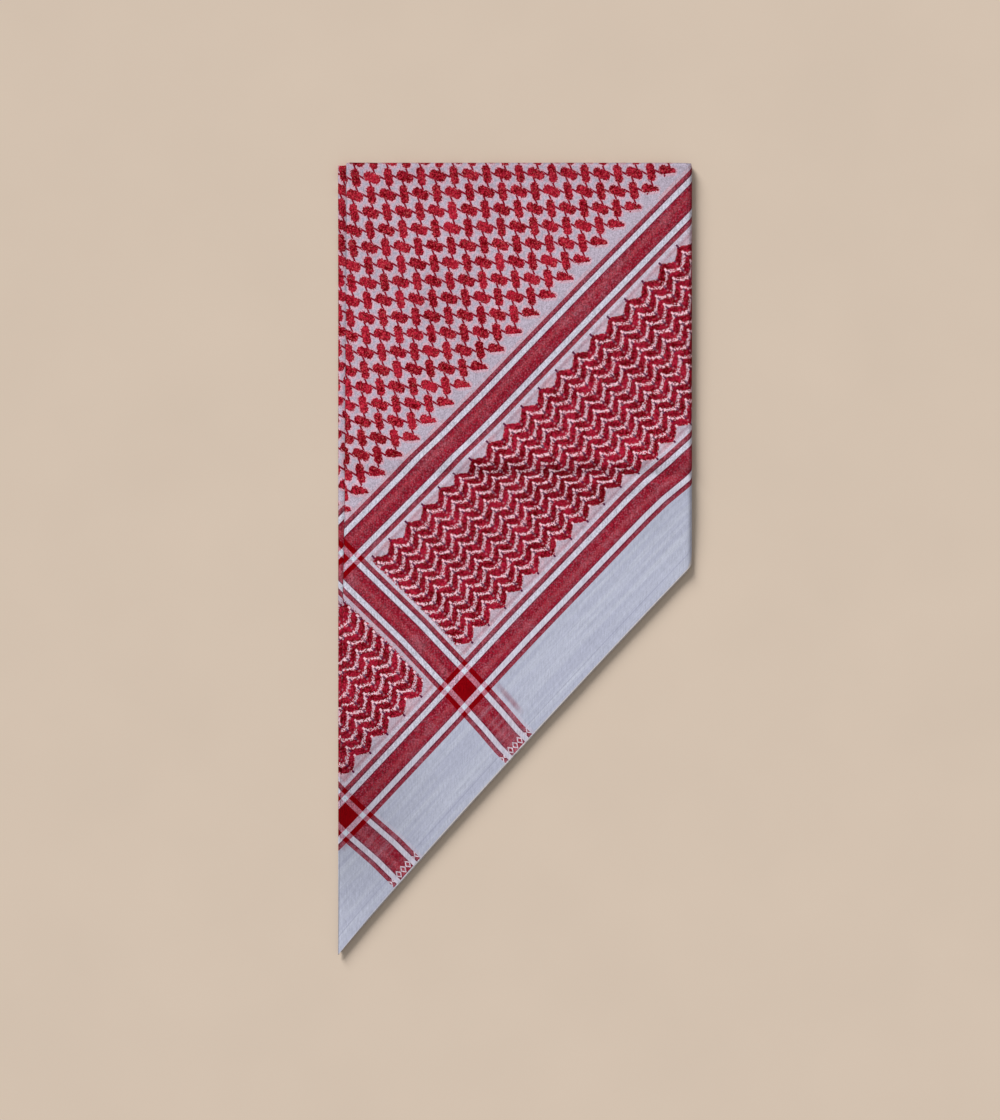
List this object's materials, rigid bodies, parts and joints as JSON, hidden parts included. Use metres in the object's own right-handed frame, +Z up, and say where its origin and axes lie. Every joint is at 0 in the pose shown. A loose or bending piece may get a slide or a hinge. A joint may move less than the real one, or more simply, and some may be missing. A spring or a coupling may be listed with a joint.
{
  "type": "keffiyeh headscarf, folded flat",
  "caption": "Folded square cotton headscarf lying flat: a slim pointed pile with a long left fold, top and right folds, and a slanting hem.",
  "frame": {"origin": "middle of the pile's outline, on the surface that it lies on", "axes": "+Z up out of the surface; +Y from the pointed foot to the top fold; +X from the long left fold to the right-hand fold"},
  "size_m": [0.4424, 0.9898, 0.0133],
  "materials": {
    "face_cotton": "woven cotton, matt, red figure on white",
    "under_fold_cotton": "woven cotton, matt, red figure on white",
    "hem_cotton": "woven cotton hem, matt, white",
    "inner_cotton": "woven cotton, matt, red figure on white",
    "wing_cotton": "woven cotton, matt, red figure on white"
  },
  "bodies": {
    "root": {"front_layer": "face_cotton", "left_under_fold": "under_fold_cotton", "second_hem": "hem_cotton", "inner_layers": "inner_cotton", "folded_wing": "wing_cotton"}
  },
  "joints": []
}
